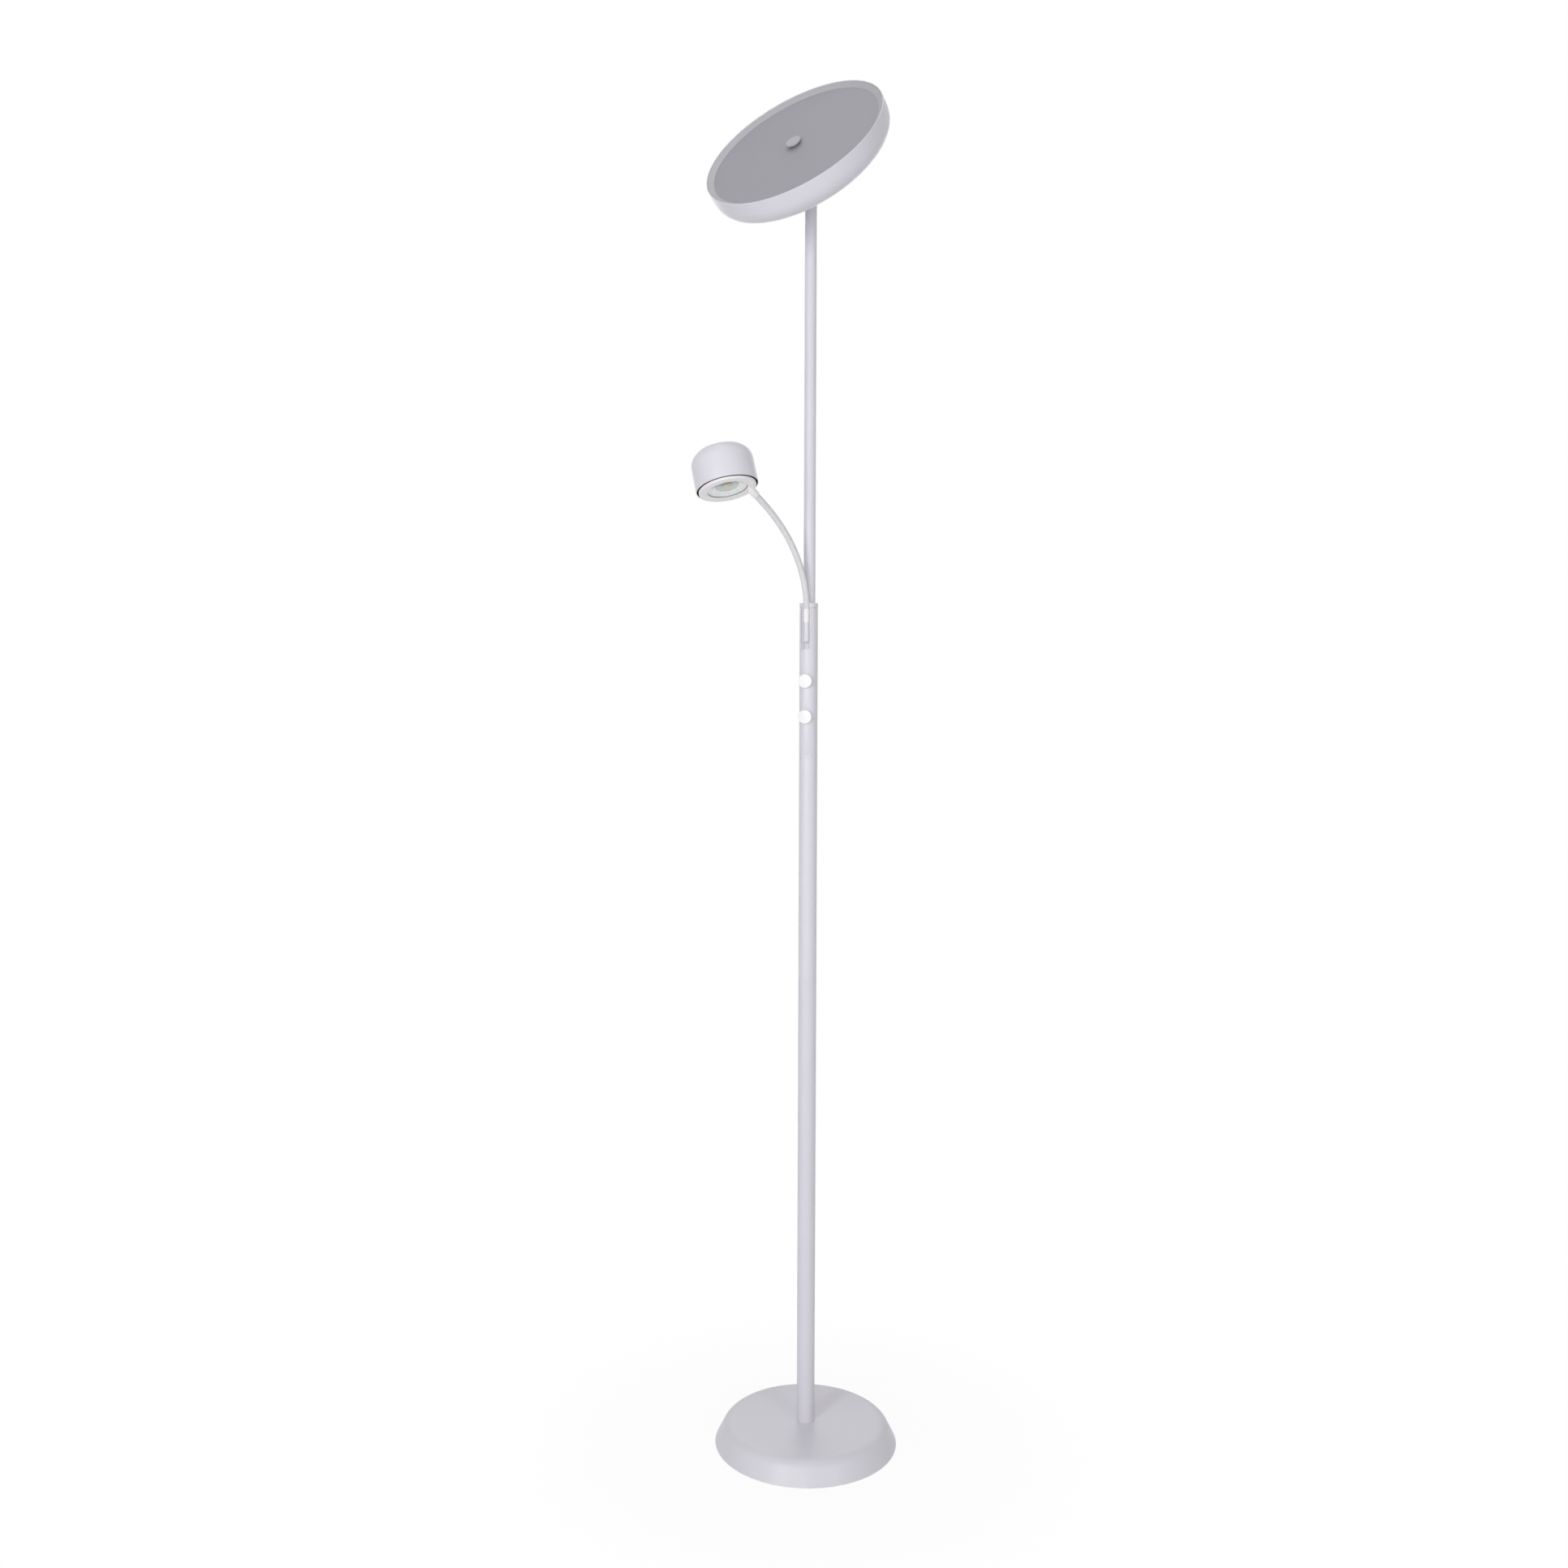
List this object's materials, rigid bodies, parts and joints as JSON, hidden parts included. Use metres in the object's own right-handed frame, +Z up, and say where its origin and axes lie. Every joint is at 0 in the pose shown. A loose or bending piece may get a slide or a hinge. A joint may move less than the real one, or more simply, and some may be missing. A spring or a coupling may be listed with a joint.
{
  "type": "torchiere floor lamp with reading light",
  "caption": "Floor lamp with a round weighted base, slim pole, tilting disc uplighter and a small round reading light on a bendable arm.",
  "frame": {"origin": "on the pole axis, where the base pad stands on the floor", "axes": "+Z up the pole, front with the knobs towards -Y, +X to the right seen from the front"},
  "size_m": [0.2652, 0.2998, 1.8813],
  "materials": {
    "white_paint": "satin powder coat, off-white",
    "concrete": "cast, rough",
    "foam_pad": "fine closed-cell foam",
    "white_rubber": "matte",
    "zinc_steel": "bright zinc plate",
    "white_plastic": "fine moulded texture",
    "sleeve_white": "wound steel in a smooth soft white sleeve, faint winding under it",
    "dimmer_black": "moulded",
    "bare_aluminium": "plain",
    "black_aluminium": "black anodised",
    "knob_white": "semi-gloss",
    "driver_case": "moulded",
    "board_white": "white solder mask",
    "chip_yellow": "phosphor",
    "opal": "opal diffuser, lamp off",
    "mirror_finish": "bright metallised",
    "clear": "clear"
  },
  "bodies": {
    "stand": {"base_cover": "white_paint", "base_weight": "concrete", "base_pad": "foam_pad", "cable_gland": "white_rubber", "threaded_tube": "zinc_steel", "clamp_washer": "zinc_steel", "clamp_nut": "zinc_steel", "pole_plug": "zinc_steel", "lower_pole": "white_paint", "joining_sleeve": "white_paint", "control_tube": "white_paint", "top_adapter": "white_plastic", "upper_pole": "white_paint", "pole_socket": "white_paint", "arm_ferrule": "sleeve_white", "ferrule_screw": "zinc_steel", "upper_dimmer": "dimmer_black", "lower_dimmer": "dimmer_black"},
    "knob_upper": {"upper_knob": "knob_white", "upper_shaft": "bare_aluminium"},
    "knob_lower": {"lower_knob": "knob_white", "lower_shaft": "bare_aluminium"},
    "swivel": {"swivel_fork": "white_paint", "swivel_clip": "zinc_steel", "tilt_screw": "zinc_steel", "tilt_nut": "zinc_steel", "friction_discs": "white_plastic"},
    "uplighter": {"tilt_bracket": "white_paint", "bracket_screws": "zinc_steel", "head_shell": "white_paint", "driver_box": "driver_case", "spreader_posts": "bare_aluminium", "heat_spreader": "bare_aluminium", "led_board": "board_white", "led_chips": "chip_yellow", "diffuser_ring": "white_plastic", "diffuser": "opal", "centre_stud": "white_plastic", "centre_cap": "white_plastic"},
    "arm_1": {"arm_link_1": "sleeve_white"},
    "arm_2": {"arm_link_2": "sleeve_white"},
    "arm_3": {"arm_link_3": "sleeve_white"},
    "arm_4": {"arm_link_4": "sleeve_white"},
    "arm_5": {"arm_link_5": "sleeve_white"},
    "reading_light": {"arm_link_6": "sleeve_white", "reading_shell": "white_paint", "reading_housing": "black_aluminium", "hanger_stud": "zinc_steel", "chip_board": "board_white", "light_chip": "chip_yellow", "reflector": "mirror_finish", "clear_cover": "clear", "bezel": "white_plastic"}
  },
  "joints": [
    {"name": "upper_knob_turn", "type": "hinge", "parent": "stand", "child": "knob_upper", "pos_m": [0, -0.013, 1.0769], "axis": [0, 1, 0], "range_deg": [0, 290]},
    {"name": "lower_knob_turn", "type": "hinge", "parent": "stand", "child": "knob_lower", "pos_m": [0, -0.013, 1.0284], "axis": [0, 1, 0], "range_deg": [0, 290]},
    {"name": "head_swivel", "type": "hinge", "parent": "stand", "child": "swivel", "pos_m": [0, 0.0026, 1.725], "axis": [0, 0, 1], "range_deg": [-165, 165]},
    {"name": "head_tilt", "type": "hinge", "parent": "swivel", "child": "uplighter", "pos_m": [0, 0.0026, 1.7465], "axis": [0.9646, -0.2639, 0], "range_deg": [-50, 40]},
    {"name": "arm_bend_1", "type": "hinge", "parent": "stand", "child": "arm_1", "pos_m": [0, -0.01, 1.186], "axis": [0.9135, -0.4067, 0], "range_deg": [-6, 14]},
    {"name": "arm_side_1", "type": "hinge", "parent": "arm_1", "child": "arm_2", "pos_m": [-0.00272, -0.0161, 1.21586], "axis": [-0.3841, -0.8627, -0.329], "range_deg": [-14, 14]},
    {"name": "arm_bend_2", "type": "hinge", "parent": "arm_2", "child": "arm_3", "pos_m": [-0.00799, -0.02795, 1.24359], "axis": [0.9135, -0.4067, 0], "range_deg": [-6, 14]},
    {"name": "arm_bend_3", "type": "hinge", "parent": "arm_3", "child": "arm_4", "pos_m": [-0.0153, -0.04437, 1.26839], "axis": [0.9135, -0.4067, 0], "range_deg": [-6, 14]},
    {"name": "arm_side_2", "type": "hinge", "parent": "arm_4", "child": "arm_5", "pos_m": [-0.02413, -0.0642, 1.29002], "axis": [-0.2658, -0.5969, -0.757], "range_deg": [-14, 14]},
    {"name": "arm_bend_4", "type": "hinge", "parent": "arm_5", "child": "reading_light", "pos_m": [-0.03398, -0.08633, 1.3088], "axis": [0.9135, -0.4067, 0], "range_deg": [-6, 14]}
  ],
  "couplings": [
    {"joint": "arm_bend_2", "follows": "arm_bend_1", "ratio": 1},
    {"joint": "arm_bend_3", "follows": "arm_bend_1", "ratio": 1},
    {"joint": "arm_bend_4", "follows": "arm_bend_1", "ratio": 1},
    {"joint": "arm_side_2", "follows": "arm_side_1", "ratio": 1}
  ]
}
